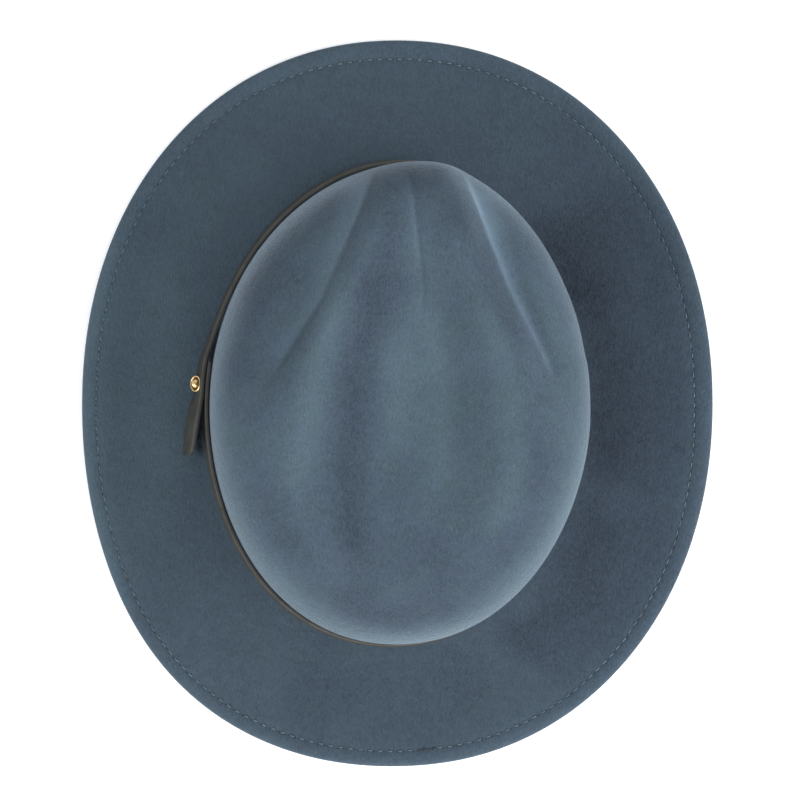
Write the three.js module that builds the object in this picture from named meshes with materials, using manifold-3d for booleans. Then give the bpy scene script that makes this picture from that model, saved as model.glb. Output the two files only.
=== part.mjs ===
// A wide-brimmed felt hat with a pinched teardrop crown, a leather strap round its foot and a brass stud.
// Millimetres, +Z up, resting on its brim at Z = 0. The front of the hat faces -Y, the wearer's left is +X.
import * as THREE from 'three';
import { mergeVertices } from 'three/addons/utils/BufferGeometryUtils.js';
import Module from 'manifold-3d';

// Driving dimensions, millimetres unless the name says otherwise.
const feltThickness = 2.2;
const touchGap = 0.3; // between pieces that touch

const brimLength = 328; // front to back
const brimWidth = 283.6;
const brimFullness = 2.11; // exponent of the plan's superellipse, 2 is an ellipse
const brimCorner = { reach: 3.4, atDegrees: 51, spreadDegrees: 25 }; // fuller corner at the back left
const brimBreakHeight = 11; // top of the brim where it meets the crown
const brimSideLift = 7; // rise of the brim's edge at both sides
const brimFlatDegrees = 27; // half angle of the front and back stretches that lie flat
const brimFoldWidth = 11; // felt turned under at the edge
const brimEase = 1.7; // how early the brim drops on its way out, 1 is evenly
const breakRadius = 5; // bend between crown and brim

const crownLength = 211.4; // outside of the felt at the foot of the crown
const crownWidth = 165.6;
const crownFullness = 2.0;
const crownBackFullness = 0.08; // added at the back, taken off at the front
const crownFrontHeight = 106; // above the brim's break
const crownBackHeight = 97;
const crownTaper = 2; // how far the wall leans in at each side over the crown's height
const crownLean = -3.4; // sideways lean of the top, towards the wearer's right
const crownOffset = { x: 1.9, y: 0.1 }; // foot of the crown from the middle of the brim
const crownSkew = 1.6; // sideways swing of its back end to the left and its front end to the right
const noseSkew = -6.8; // further swing of the nose, towards the wearer's right
const noseStart = 0.4; // share of the crown's half length from its middle at which that swing starts
const noseEase = 2.2; // how late it sets in, 1 is evenly
const noseFullHeight = 0.6; // share of the crown's height above which it is full
const creaseOffset = -7; // middle of the teardrop dent from the middle of the crown
const teardropDepth = 20;
const pinchDepth = 13;

const strapHeight = 13;
const strapThickness = 1.8;
const strapEdge = 0.4; // bevel along the strap's edges
const strapRise = 0.3; // from the end of the bend to the strap's lower edge
const strapLean = 1.2; // how much further its lower edge stands off than its upper edge
const strapStartDegrees = -13; // cut end of the inner layer, from the wearer's left towards the back
const strapTailDegrees = 14.5; // end of the free tail
const strapLiftDegrees = 24; // stretch before that end over which the outer layer leaves the felt
const tailFlare = 5.6; // how far the tail's end stands off
const tailLean = 3.4; // how far its lower edge leans out further
const tailCorner = 3; // rounding of the tail's end

const studDegrees = -6;
const studHeadDiameter = 7.4;
const studHeadHeight = 3.8;
const studPostDiameter = 3;
const studCollarShare = 0.25; // of the head's height, the straight collar below the dome
const studDomeInset = 0.5; // ledge between the collar's edge and the dome

// How finely the pieces are faceted.
const feltSections = 76;
const crownSteps = 18;
const bendSteps = 3;
const brimSteps = 6;
const edgeSteps = 4;
const strapStepDegrees = 5;
const tailCornerSteps = 3;
const roundSides = 24;
const domeSteps = 5;
const wallSamples = 20;
const shoulderSamples = 140;
const wallStepDegrees = 0.5; // half the stretch of wall from which its direction is taken

// The crown's wall is straight up to a share of its height. Above that its shoulder rounds over into the top,
// the tighter the larger the exponent.
const wallShare = 0.36;
const shoulder = { front: 3.8, side: 4.2, back: 3.0 };

// Folds pressed into the crown. Places are shares of the crown's half width (x, plus to the wearer's left)
// and half length (y, plus to the back), from the middle of the teardrop. Depths are shares of the named
// depth. Spreads, towards the hat's middle (inner) and away from it (outer), are shares of the half width.
const folds = {
  teardrop: {
    depth: teardropDepth,
    rows: [
      { x: 0.02, y: -0.94, depth: 0.05, inner: 0.15, outer: 0.15 },
      { x: 0.01, y: -0.68, depth: 0.38, inner: 0.22, outer: 0.22 },
      { x: -0.01, y: -0.42, depth: 0.72, inner: 0.32, outer: 0.32 },
      { x: 0.02, y: -0.08, depth: 1.00, inner: 0.38, outer: 0.38 },
      { x: 0.03, y: 0.20, depth: 0.86, inner: 0.40, outer: 0.40 },
      { x: 0.03, y: 0.42, depth: 0.48, inner: 0.34, outer: 0.34 },
    ],
  },
  leftPinch: {
    depth: pinchDepth,
    rows: [
      { x: 0.31, y: -0.90, depth: 0.18, inner: 0.09, outer: 0.14 },
      { x: 0.48, y: -0.60, depth: 0.85, inner: 0.10, outer: 0.23 },
      { x: 0.61, y: -0.40, depth: 1.00, inner: 0.10, outer: 0.25 },
      { x: 0.73, y: -0.21, depth: 0.85, inner: 0.10, outer: 0.21 },
      { x: 0.81, y: -0.05, depth: 0.40, inner: 0.09, outer: 0.15 },
    ],
  },
  rightPinch: {
    depth: pinchDepth,
    rows: [
      { x: -0.31, y: -0.92, depth: 0.36, inner: 0.07, outer: 0.15 },
      { x: -0.41, y: -0.68, depth: 0.90, inner: 0.08, outer: 0.20 },
      { x: -0.52, y: -0.46, depth: 0.95, inner: 0.08, outer: 0.22 },
      { x: -0.66, y: -0.22, depth: 0.75, inner: 0.08, outer: 0.20 },
      { x: -0.73, y: -0.07, depth: 0.40, inner: 0.08, outer: 0.16 },
    ],
  },
};
const foldFade = { from: 0.34, to: 0.82 }; // shares of the crown's height over which the folds fade down the wall

// The strap's outer layer, from where it leaves the felt (along 0) to the end of the free tail (along 1).
// Climb is a share of the inner layer's thickness, flare and lean are shares of the named flare and lean.
const outerLayer = [
  { along: 0.00, climb: 0.00, flare: 0.00, lean: 0.00 },
  { along: 0.20, climb: 0.15, flare: 0.00, lean: 0.00 },
  { along: 0.36, climb: 0.55, flare: 0.00, lean: 0.00 },
  { along: 0.45, climb: 1.00, flare: 0.00, lean: 0.10 },
  { along: 0.54, climb: 1.00, flare: 0.00, lean: 0.45 },
  { along: 0.66, climb: 1.00, flare: 0.00, lean: 0.45 },
  { along: 0.73, climb: 1.00, flare: 0.10, lean: 0.90 },
  { along: 0.81, climb: 1.00, flare: 0.32, lean: 1.00 },
  { along: 0.93, climb: 1.00, flare: 0.70, lean: 0.90 },
  { along: 1.00, climb: 1.00, flare: 1.00, lean: 0.80 },
];

const wasm = await Module();
wasm.setup();

const radians = THREE.MathUtils.degToRad;
const mix = THREE.MathUtils.lerp;
const clamp01 = (value) => THREE.MathUtils.clamp(value, 0, 1);
const smooth = (value) => THREE.MathUtils.smoothstep(value, 0, 1);

// Plan radius of a superellipse in the direction of an angle.
function ovalReach(angle, halfWidth, halfLength, exponent) {
  const across = Math.abs(Math.cos(angle) / halfWidth) ** exponent;
  const along = Math.abs(Math.sin(angle) / halfLength) ** exponent;
  return (across + along) ** (-1 / exponent);
}

// Value of a named column at a place along a table.
function tableAt(rows, column, along) {
  const next = rows.findIndex((row) => row.along >= along);
  if (next <= 0) return rows[0][column];
  const a = rows[next - 1];
  const b = rows[next];
  return mix(a[column], b[column], (along - a.along) / (b.along - a.along));
}

// Crown

const crownHeightAt = (y) => mix(crownFrontHeight, crownBackHeight, clamp01(0.5 + y / crownLength));

// The unfolded crown in one direction: points from the foot, at the break, up to the middle of the top.
function crownProfile(angle) {
  const toBack = Math.sin(angle);
  const reach = ovalReach(angle, crownWidth / 2, crownLength / 2, crownFullness + crownBackFullness * toBack);
  const end = toBack < 0 ? shoulder.front : shoulder.back;
  const roundness = mix(shoulder.side, end, toBack ** 2);
  const points = [];
  const pushAt = (out, up) => {
    const radius = (reach - crownTaper * up) * out;
    const backShare = radius * toBack / (crownLength / 2);
    const noseShare = clamp01((-backShare - noseStart) / (1 - noseStart)) ** noseEase;
    const noseSwing = noseSkew * noseShare * smooth(up / noseFullHeight);
    const swing = crownLean * up + crownSkew * backShare + noseSwing;
    points.push(new THREE.Vector3(
      crownOffset.x + radius * Math.cos(angle) + swing,
      crownOffset.y + radius * toBack,
      brimBreakHeight + up * crownHeightAt(radius * toBack),
    ));
  };
  for (let i = 0; i < wallSamples; i += 1) {
    pushAt(1, (wallShare * i) / wallSamples);
  }
  for (let i = 0; i <= shoulderSamples; i += 1) {
    const turn = (Math.PI / 2) * (i / shoulderSamples);
    const out = Math.max(0, Math.cos(turn)) ** (2 / roundness);
    pushAt(out, mix(wallShare, 1, Math.sin(turn) ** (2 / roundness)));
  }
  return points;
}

// The point at a height on the unfolded crown's wall.
function wallPoint(angle, height) {
  const points = crownProfile(angle);
  const next = points.findIndex((point) => point.z >= height);
  const a = points[next - 1];
  const b = points[next];
  return a.clone().lerp(b, (height - a.z) / (b.z - a.z));
}

// Points at even steps along a run of points.
function resample(points, steps) {
  const lengths = [0];
  for (let i = 1; i < points.length; i += 1) {
    lengths.push(lengths[i - 1] + points[i].distanceTo(points[i - 1]));
  }
  const even = [];
  let at = 0;
  for (let step = 0; step <= steps; step += 1) {
    const wanted = (lengths[lengths.length - 1] * step) / steps;
    while (at < points.length - 2 && lengths[at + 1] < wanted) at += 1;
    const share = (wanted - lengths[at]) / (lengths[at + 1] - lengths[at]);
    even.push(points[at].clone().lerp(points[at + 1], clamp01(share)));
  }
  return even;
}

// Depth of one fold at a plan place: the deepest of the stretches between its rows.
function foldDepth(fold, x, y) {
  const halfWidth = crownWidth / 2;
  const halfLength = crownLength / 2;
  let deepest = 0;
  for (let i = 1; i < fold.rows.length; i += 1) {
    const a = fold.rows[i - 1];
    const b = fold.rows[i];
    const run = new THREE.Vector2((b.x - a.x) * halfWidth, (b.y - a.y) * halfLength);
    const from = new THREE.Vector2(x - a.x * halfWidth, y - a.y * halfLength);
    const share = clamp01(from.dot(run) / run.lengthSq());
    const side = Math.abs(x) > Math.abs(mix(a.x, b.x, share) * halfWidth) ? 'outer' : 'inner';
    const away = from.addScaledVector(run, -share).length() / (mix(a[side], b[side], share) * halfWidth);
    deepest = Math.max(deepest, mix(a.depth, b.depth, share) * Math.exp(-(away ** 2)));
  }
  return fold.depth * deepest;
}

// How far the folds press in at a point of the unfolded crown.
function pressedDepth(point) {
  const x = point.x - crownOffset.x - creaseOffset;
  const y = point.y - crownOffset.y;
  const heightShare = (point.z - brimBreakHeight) / crownHeightAt(y);
  const fade = smooth((heightShare - foldFade.from) / (foldFade.to - foldFade.from));
  return fade * Object.values(folds).reduce((sum, fold) => sum + foldDepth(fold, x, y), 0);
}

// Outward normals of a skin held as columns of points that run from the middle of the top outwards.
function skinNormals(columns) {
  return columns.map((column, i) => column.map((point, row) => {
    const onward = columns[(i + 1) % columns.length][row];
    const behind = columns[(i + columns.length - 1) % columns.length][row];
    const around = onward.clone().sub(behind);
    const down = column[Math.min(row + 1, column.length - 1)].clone().sub(column[Math.max(row - 1, 0)]);
    return down.cross(around).normalize();
  }));
}

const shifted = (columns, normals, distanceAt) => columns.map((column, i) => column.map((point, row) => (
  point.clone().addScaledVector(normals[i][row], distanceAt(point)))));

const sectionAngles = Array.from({ length: feltSections }, (_, i) => (2 * Math.PI * i) / feltSections);

// Outer and inner skins of the folded crown, down to where the bend into the brim starts.
function crownSkins() {
  const smoothColumns = sectionAngles.map((angle) => {
    const foot = wallPoint(angle, brimBreakHeight + breakRadius);
    const above = crownProfile(angle).filter((point) => point.z > foot.z);
    return resample([foot, ...above], crownSteps).reverse().slice(1);
  });
  const outer = shifted(smoothColumns, skinNormals(smoothColumns), (point) => -pressedDepth(point));
  const inner = shifted(outer, skinNormals(outer), () => -feltThickness);
  const top = crownProfile(0)[wallSamples + shoulderSamples];
  const outerMiddle = top.clone().setZ(top.z - pressedDepth(top));
  const innerMiddle = outerMiddle.clone().setZ(outerMiddle.z - feltThickness);
  return { outer, inner, outerMiddle, innerMiddle };
}

// Brim

function brimReach(angle) {
  const turned = angle - radians(brimCorner.atDegrees);
  const away = Math.atan2(Math.sin(turned), Math.cos(turned)) / radians(brimCorner.spreadDegrees);
  return ovalReach(angle, brimWidth / 2, brimLength / 2, brimFullness) + brimCorner.reach * Math.exp(-(away ** 2));
}

// Rise of the brim's edge: none where the brim lies flat at front and back, full at the sides.
function brimLift(angle) {
  const flat = radians(brimFlatDegrees);
  const fromEnd = Math.acos(Math.min(1, Math.abs(Math.sin(angle))));
  return brimSideLift * smooth((fromEnd - flat) / (Math.PI / 2 - flat));
}

// The brim in one direction: its top from the bend to the edge, round the fold, and its underside back again.
function brimColumn(angle, foot) {
  const outward = new THREE.Vector3(Math.cos(angle), Math.sin(angle), 0);
  const edge = outward.clone().multiplyScalar(brimReach(angle));
  const start = foot.clone().addScaledVector(outward, breakRadius).setZ(brimBreakHeight);
  const span = Math.hypot(edge.x - start.x, edge.y - start.y);
  const foldTop = 2 * feltThickness + brimLift(angle);
  const foldShare = 1 - brimFoldWidth / span;
  const topAt = (share) => {
    const point = start.clone().lerp(edge, share);
    const eased = 1 - (1 - clamp01(share / foldShare)) ** brimEase;
    return point.setZ(mix(brimBreakHeight, foldTop, eased));
  };
  const lowered = (point, distance) => point.clone().setZ(point.z - distance);
  const bend = (radius) => Array.from({ length: bendSteps + 1 }, (_, i) => {
    const turn = (Math.PI / 2) * (i / bendSteps);
    const point = start.clone().addScaledVector(outward, -radius * Math.cos(turn));
    return point.setZ(brimBreakHeight + breakRadius - radius * Math.sin(turn));
  });

  const shares = Array.from({ length: brimSteps }, (_, i) => (foldShare * (i + 1)) / brimSteps);
  const edgeShare = 1 - feltThickness / span;
  const flatTop = [mix(foldShare, edgeShare, 0.5), edgeShare].map(topAt);
  const rounding = Array.from({ length: edgeSteps - 1 }, (_, i) => {
    const turn = Math.PI * ((i + 1) / edgeSteps);
    const point = topAt(edgeShare).addScaledVector(outward, feltThickness * Math.sin(turn));
    return lowered(point, feltThickness * (1 - Math.cos(turn)));
  });
  const foldUnder = [...flatTop].reverse().map((point) => lowered(point, 2 * feltThickness));
  const foldEnd = [
    lowered(topAt(foldShare + touchGap / span), 2 * feltThickness),
    lowered(topAt(foldShare), feltThickness),
  ];
  const under = shares.slice(0, -1).reverse().map((share) => lowered(topAt(share), feltThickness));
  return [
    ...bend(breakRadius).slice(1),
    ...shares.map(topAt),
    ...flatTop,
    ...rounding,
    ...foldUnder,
    ...foldEnd,
    ...under,
    ...bend(breakRadius + feltThickness).reverse().slice(0, -1),
  ];
}

// Triangles from rings of equal length, closed by a point at each end.
function closedSkin(firstPoint, rings, lastPoint) {
  const count = rings[0].length;
  const last = 1 + rings.length * count;
  const at = (ring, i) => 1 + ring * count + (i % count);
  const triangles = [];
  for (let i = 0; i < count; i += 1) {
    triangles.push(0, at(0, i), at(0, i + 1));
    triangles.push(last, at(rings.length - 1, i + 1), at(rings.length - 1, i));
  }
  for (let ring = 1; ring < rings.length; ring += 1) {
    for (let i = 0; i < count; i += 1) {
      triangles.push(at(ring - 1, i), at(ring, i), at(ring, i + 1));
      triangles.push(at(ring - 1, i), at(ring, i + 1), at(ring - 1, i + 1));
    }
  }
  const geometry = new THREE.BufferGeometry();
  const points = [firstPoint, ...rings.flat(), lastPoint];
  geometry.setAttribute('position', new THREE.Float32BufferAttribute(points.flatMap((p) => p.toArray()), 3));
  geometry.setIndex(triangles);
  geometry.computeVertexNormals();
  return geometry;
}

function makeFeltBody() {
  const crown = crownSkins();
  const columns = crown.outer.map((outer, i) => [
    ...outer,
    ...brimColumn(sectionAngles[i], outer[outer.length - 1]),
    ...[...crown.inner[i]].reverse(),
  ]);
  const rings = columns[0].map((_, row) => columns.map((column) => column[row]));
  const wool = new THREE.MeshStandardMaterial({ color: 0x4c5d6e, roughness: 0.95, metalness: 0 });
  const mesh = new THREE.Mesh(closedSkin(crown.outerMiddle, rings, crown.innerMiddle), wool);
  mesh.name = 'felt_body';
  return mesh;
}

// Strap

const strapBottom = brimBreakHeight + breakRadius + strapRise;
const strapTop = strapBottom + strapHeight;

// Outward direction of the wall, level, in the direction of an angle.
function wallOutward(angle, height) {
  const step = radians(wallStepDegrees);
  const run = wallPoint(angle + step, height).sub(wallPoint(angle - step, height));
  return new THREE.Vector3(run.y, -run.x, 0).normalize();
}

// How far the strap's upper and lower edges stand off the felt at a turn of the strap, in degrees.
// The inner end is at strapStartDegrees, and the turn goes on past 360 to the tail.
function strapStandOff(turnDegrees) {
  const leaves = strapStartDegrees - strapLiftDegrees;
  const along = clamp01((turnDegrees - 360 - leaves) / (strapTailDegrees - leaves));
  const layered = (strapThickness + touchGap) * tableAt(outerLayer, 'climb', along);
  const upper = touchGap + layered + tailFlare * tableAt(outerLayer, 'flare', along);
  return { upper, lower: upper + strapLean + tailLean * tableAt(outerLayer, 'lean', along) };
}

// The strap at a turn: a ring of eight points round it, with its edges drawn in by an inset,
// the middle of its outer face, and that face's direction.
function strapRing(turnDegrees, inset) {
  const angle = radians(turnDegrees);
  const outward = wallOutward(angle, strapTop);
  const off = strapStandOff(turnDegrees);
  const upper = wallPoint(angle, strapTop).addScaledVector(outward, off.upper);
  const lower = wallPoint(angle, strapBottom).addScaledVector(outward, off.lower);
  const up = upper.clone().sub(lower).normalize();
  const across = outward.clone().addScaledVector(up, -outward.dot(up)).normalize();
  const corner = (base, rise, out) => base.clone().addScaledVector(up, rise).addScaledVector(across, out);
  const thick = strapThickness;
  const ring = [
    corner(lower, inset + strapEdge, 0),
    corner(lower, inset, strapEdge),
    corner(lower, inset, thick - strapEdge),
    corner(lower, inset + strapEdge, thick),
    corner(upper, -inset - strapEdge, thick),
    corner(upper, -inset, thick - strapEdge),
    corner(upper, -inset, strapEdge),
    corner(upper, -inset - strapEdge, 0),
  ];
  const face = corner(upper.clone().lerp(lower, 0.5), 0, thick);
  return { ring, face, across };
}

function strapGeometry() {
  const endTurn = 360 + strapTailDegrees;
  const cornerDegrees = THREE.MathUtils.radToDeg(tailCorner / (crownWidth / 2));
  const plainTurns = Math.ceil((endTurn - cornerDegrees - strapStartDegrees) / strapStepDegrees);
  const rings = [];
  for (let i = 0; i <= plainTurns; i += 1) {
    rings.push(strapRing(mix(strapStartDegrees, endTurn - cornerDegrees, i / plainTurns), 0).ring);
  }
  for (let i = 1; i <= tailCornerSteps; i += 1) {
    const share = Math.sin((Math.PI / 2) * (i / tailCornerSteps));
    const inset = tailCorner * (1 - Math.sqrt(1 - share ** 2));
    rings.push(strapRing(mix(endTurn - cornerDegrees, endTurn, share), inset).ring);
  }
  const middleOf = (ring) => ring.reduce((sum, p) => sum.add(p), new THREE.Vector3()).divideScalar(ring.length);
  return closedSkin(middleOf(rings[0]), rings, middleOf(rings[rings.length - 1]));
}

// The stud stands on the strap's outer face, and its post goes through both layers to just short of the felt.
const studSeat = strapRing(360 + studDegrees, 0);
const studTurn = new THREE.Quaternion().setFromUnitVectors(new THREE.Vector3(0, 1, 0), studSeat.across);
const layersDepth = 2 * (touchGap + strapThickness);

function toManifold(geometry) {
  const bare = geometry.clone();
  bare.deleteAttribute('normal');
  bare.deleteAttribute('uv');
  const merged = mergeVertices(bare);
  return new wasm.Manifold(new wasm.Mesh({
    numProp: 3,
    vertProperties: new Float32Array(merged.attributes.position.array),
    triVerts: new Uint32Array(merged.index.array),
  }));
}

function makeHatBand() {
  const holeRadius = studPostDiameter / 2 + touchGap;
  const punchLength = 3 * layersDepth; // well through both layers
  const punch = new THREE.CylinderGeometry(holeRadius, holeRadius, punchLength, roundSides);
  punch.applyQuaternion(studTurn);
  punch.translate(...studSeat.face.toArray());
  const punched = toManifold(strapGeometry()).subtract(toManifold(punch)).getMesh();
  const geometry = new THREE.BufferGeometry();
  geometry.setAttribute('position', new THREE.BufferAttribute(punched.vertProperties, 3));
  geometry.setIndex(new THREE.BufferAttribute(punched.triVerts, 1));
  geometry.computeVertexNormals();
  const leather = new THREE.MeshStandardMaterial({ color: 0x58534e, roughness: 0.55, metalness: 0 });
  const mesh = new THREE.Mesh(geometry, leather);
  mesh.name = 'hat_band';
  return mesh;
}

// Stud

// Turned profile along the stud's axis: post through both layers, collar and domed head.
function makeBandStud() {
  const post = studPostDiameter / 2;
  const head = studHeadDiameter / 2;
  const seat = touchGap;
  const collar = studCollarShare * studHeadHeight;
  const dome = studHeadHeight - collar;
  const profile = [
    new THREE.Vector2(0, touchGap - layersDepth),
    new THREE.Vector2(post, touchGap - layersDepth),
    new THREE.Vector2(post, seat),
    new THREE.Vector2(head, seat),
    new THREE.Vector2(head, seat + collar),
  ];
  for (let i = 0; i <= domeSteps; i += 1) {
    const turn = (Math.PI / 2) * (i / domeSteps);
    const radius = i === domeSteps ? 0 : (head - studDomeInset) * Math.cos(turn);
    profile.push(new THREE.Vector2(radius, seat + collar + dome * Math.sin(turn)));
  }
  const brass = new THREE.MeshStandardMaterial({ color: 0xb08a4e, roughness: 0.25, metalness: 1 });
  const mesh = new THREE.Mesh(new THREE.LatheGeometry(profile, roundSides), brass);
  mesh.name = 'band_stud';
  mesh.position.copy(studSeat.face);
  mesh.quaternion.copy(studTurn);
  return mesh;
}

const hat = new THREE.Group();
hat.add(makeFeltBody(), makeHatBand(), makeBandStud());

export default hat;
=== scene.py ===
import math
import random

import bpy
import numpy as np
from mathutils import Matrix, Vector, noise
from mathutils.bvhtree import BVHTree


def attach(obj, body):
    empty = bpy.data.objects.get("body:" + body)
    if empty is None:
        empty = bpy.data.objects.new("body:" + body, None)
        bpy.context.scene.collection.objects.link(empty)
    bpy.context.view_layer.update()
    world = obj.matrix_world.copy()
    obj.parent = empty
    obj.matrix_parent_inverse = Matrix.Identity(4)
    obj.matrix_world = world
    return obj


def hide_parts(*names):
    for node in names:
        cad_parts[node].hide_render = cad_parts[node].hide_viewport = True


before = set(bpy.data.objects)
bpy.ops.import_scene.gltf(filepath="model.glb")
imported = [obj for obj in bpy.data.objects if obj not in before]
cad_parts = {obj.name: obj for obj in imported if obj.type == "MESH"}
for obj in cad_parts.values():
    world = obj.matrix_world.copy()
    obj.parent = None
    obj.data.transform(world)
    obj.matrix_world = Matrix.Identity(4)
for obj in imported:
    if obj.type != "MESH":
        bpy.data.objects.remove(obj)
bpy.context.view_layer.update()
print("frame loaded:", sorted(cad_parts))

# Wide brimmed wool felt hat, seen from straight above. Metres, front of the hat to -Y, wearer's left to +X.
# Every piece has its own dictionary of settings just above the code that makes it.

random.seed(11)
mm = 0.001


# general helpers

def pickOnly(obj):
    for other in bpy.context.selected_objects:
        other.select_set(False)
    obj.select_set(True)
    bpy.context.view_layer.objects.active = obj


def newObject(name, points, faces):
    mesh = bpy.data.meshes.new(name)
    mesh.from_pydata([tuple(p) for p in points], [], faces)
    mesh.update()
    obj = bpy.data.objects.new(name, mesh)
    bpy.context.scene.collection.objects.link(obj)
    return obj


def smoothStep(values):
    t = np.clip(values, 0, 1)
    return t * t * (3 - 2 * t)


def ramp(values, low, high):
    # 0 at low and 1 at high, eased
    return smoothStep((values - low) / (high - low))


def vertexArray(mesh, field):
    flat = np.zeros(len(mesh.vertices) * 3)
    mesh.vertices.foreach_get(field, flat)
    return flat.reshape(-1, 3)


def setAttribute(mesh, name, values):
    layer = mesh.attributes.new(name, "FLOAT", "POINT")
    layer.data.foreach_set("value", np.asarray(values, dtype=np.float32))


def outwardFaces(obj):
    pickOnly(obj)
    bpy.ops.object.mode_set(mode="EDIT")
    bpy.ops.mesh.select_all(action="SELECT")
    bpy.ops.mesh.normals_make_consistent(inside=False)
    bpy.ops.object.mode_set(mode="OBJECT")


def awayFrom(points, line):
    # distance from a run of plan points, minus on its right hand side,
    # and the share of its length at the nearest place
    line = np.array(line, dtype=float) * mm
    lengths = np.hypot(*(line[1:] - line[:-1]).T)
    starts = np.concatenate([[0], np.cumsum(lengths)])
    best = np.full(len(points), np.inf)
    signed = np.zeros(len(points))
    along = np.zeros(len(points))
    for i, length in enumerate(lengths):
        run = (line[i + 1] - line[i]) / length
        offset = points[:, :2] - line[i]
        reach = np.clip(offset @ run, 0, length)
        rest = offset - reach[:, None] * run
        distance = np.hypot(rest[:, 0], rest[:, 1])
        side = np.where(run[0] * rest[:, 1] - run[1] * rest[:, 0] < 0, -1, 1)
        nearer = distance < best
        best = np.where(nearer, distance, best)
        signed = np.where(nearer, distance * side, signed)
        along = np.where(nearer, (starts[i] + reach) / starts[-1], along)
    return signed, along


# shader graph: a Wire is one output socket, so sums of wires read like plain maths

class Wire:
    def __init__(self, tree, socket):
        self.tree, self.socket = tree, socket

    def node(self, kind, settings, inputs, output=0):
        made = self.tree.nodes.new(kind)
        for key, value in settings.items():
            setattr(made, key, value)
        for key, value in inputs.items():
            if isinstance(value, Wire):
                self.tree.links.new(value.socket, made.inputs[key])
            else:
                made.inputs[key].default_value = value
        return Wire(self.tree, made.outputs[output])

    def maths(self, operation, *values):
        return self.node("ShaderNodeMath", {"operation": operation}, dict(enumerate(values)))

    def __add__(self, other):
        return self.maths("ADD", self, other)

    def __radd__(self, other):
        return self.maths("ADD", other, self)

    def __sub__(self, other):
        return self.maths("SUBTRACT", self, other)

    def __rsub__(self, other):
        return self.maths("SUBTRACT", other, self)

    def __mul__(self, other):
        return self.maths("MULTIPLY", self, other)

    def __truediv__(self, other):
        return self.maths("DIVIDE", self, other)

    def __rtruediv__(self, other):
        return self.maths("DIVIDE", other, self)

    def root(self):
        return self.maths("SQRT", self)

    def times(self, other):
        # a colour by a colour
        return self.node("ShaderNodeVectorMath", {"operation": "MULTIPLY"}, {0: self, 1: other})

    def scaled(self, gain):
        # a colour by a number
        return self.node("ShaderNodeVectorMath", {"operation": "SCALE"}, {0: self, "Scale": gain})

    def between(self, low, high):
        # 0 at low and 1 at high, eased
        return self.node("ShaderNodeMapRange", {"interpolation_type": "SMOOTHSTEP"},
                         {"Value": self, "From Min": low, "From Max": high})

    def bell(self, width):
        # 1 at nought, falling off over the width to both sides
        return 1 / (1 + (self / width) * (self / width))

    def noise(self, scale, detail, roughness):
        return self.node("ShaderNodeTexNoise", {}, {
            "Vector": self, "Scale": scale, "Detail": detail, "Roughness": roughness}, "Fac")

    def blend(self, first, second):
        # this wire mixes two colours
        return self.node("ShaderNodeMix", {"data_type": "RGBA"}, {
            "Factor": self, 6: colourOf(first), 7: colourOf(second)}, 2)

    def bump(self, distance, strength, under=None):
        inputs = {"Height": self, "Distance": distance, "Strength": strength}
        if under is not None:
            inputs["Normal"] = under
        return self.node("ShaderNodeBump", {}, inputs)


def colourOf(value):
    return value if isinstance(value, Wire) else (*value, 1)


def newMaterial(name, fixed):
    material = bpy.data.materials.new(name)
    material.use_nodes = True
    tree = material.node_tree
    shader = tree.nodes["Principled BSDF"]
    for key, value in fixed.items():
        shader.inputs[key].default_value = value
    return material, tree, shader


def feed(tree, shader, wires):
    for key, wire in wires.items():
        tree.links.new(wire.socket, shader.inputs[key])


def objectPlace(tree):
    return Wire(tree, None).node("ShaderNodeTexCoord", {}, {}, "Object")


def partOf(place, axis):
    return place.node("ShaderNodeSeparateXYZ", {}, {0: place}, axis)


def attribute(tree, name):
    return Wire(tree, None).node("ShaderNodeAttribute", {"attribute_name": name}, {}, "Fac")


# felt body

felt = {
    "levels": 2,                          # rounds of smoothing
    "fineBand": 6.5,                      # mm beside each crease that is cut finer
    "creaseHeights": (0.046, 0.080),      # where the crown's creases start, going up, and where they are full
    "middle": (0.0019, 0.0001, 0.045),    # a place inside the crown, to tell its outside from its inside
    "waviness": 0.35,                     # mm, slow unevenness of the brim
    "waveScale": 24,
    "waveHeights": (0.012, 0.006),        # the waves fade out up the crown
    "waveReach": (0.075, 0.045),          # and this far in from the brim's edge
    "underside": (0, 0.003),              # what lies on the table stays flat
    "puff": 0.35,                         # mm, fullness of the margin outside the stitching
    "puffBias": 0.8,                      # under 1 puts the fullest place nearer the edge
    "groove": 0.22,                       # mm, how far the stitching pulls the felt in
    "grooveWidth": 1.5,                   # mm
    "marginTop": 0.02,                    # the margin is lower than this everywhere
}

# creases from the nose backwards: places in mm, outer is the side that drops away, depths and widths in mm
creases = {
    "left": {
        "line": [(11.0, -97), (15.3, -84.7), (23.6, -65.2), (33.3, -42.9), (47.2, -20.7), (59.7, -1.2)],
        "outer": -1, "drop": 1.3, "dropWidth": 4.0, "reach": 15, "lip": 0.20, "lipWidth": 3.0,
        "trench": 0.7, "trenchWidth": 2.0, "fadeIn": 0.18, "fadeOut": 0.84,
    },
    "right": {
        "line": [(-24.6, -98), (-26.4, -92.8), (-34.8, -69.9), (-43.1, -48.3), (-57.1, -20.9), (-62.3, -8.4)],
        "outer": 1, "drop": 2.0, "dropWidth": 4.4, "reach": 13, "lip": 0.12, "lipWidth": 2.6,
        "fadeIn": 0.16, "fadeOut": 0.93,
    },
    "centre": {
        "line": [(-2.6, -99), (-3.5, -92.6), (-5.6, -67.8), (-8.2, -48.0), (-7.5, -30.0)],
        "outer": 1, "trench": 1.2, "trenchWidth": 1.7, "fadeIn": 0.10, "fadeOut": 0.62,
    },
}

creaseShape = {
    "lipPlace": 0.8,        # mm, how far inside the line the lip is highest
    "lipEnd": 6,            # mm outside the line, where the lip ends
    "trenchPower": 1.5,     # higher gives a flatter bottom and steeper sides
}

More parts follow.
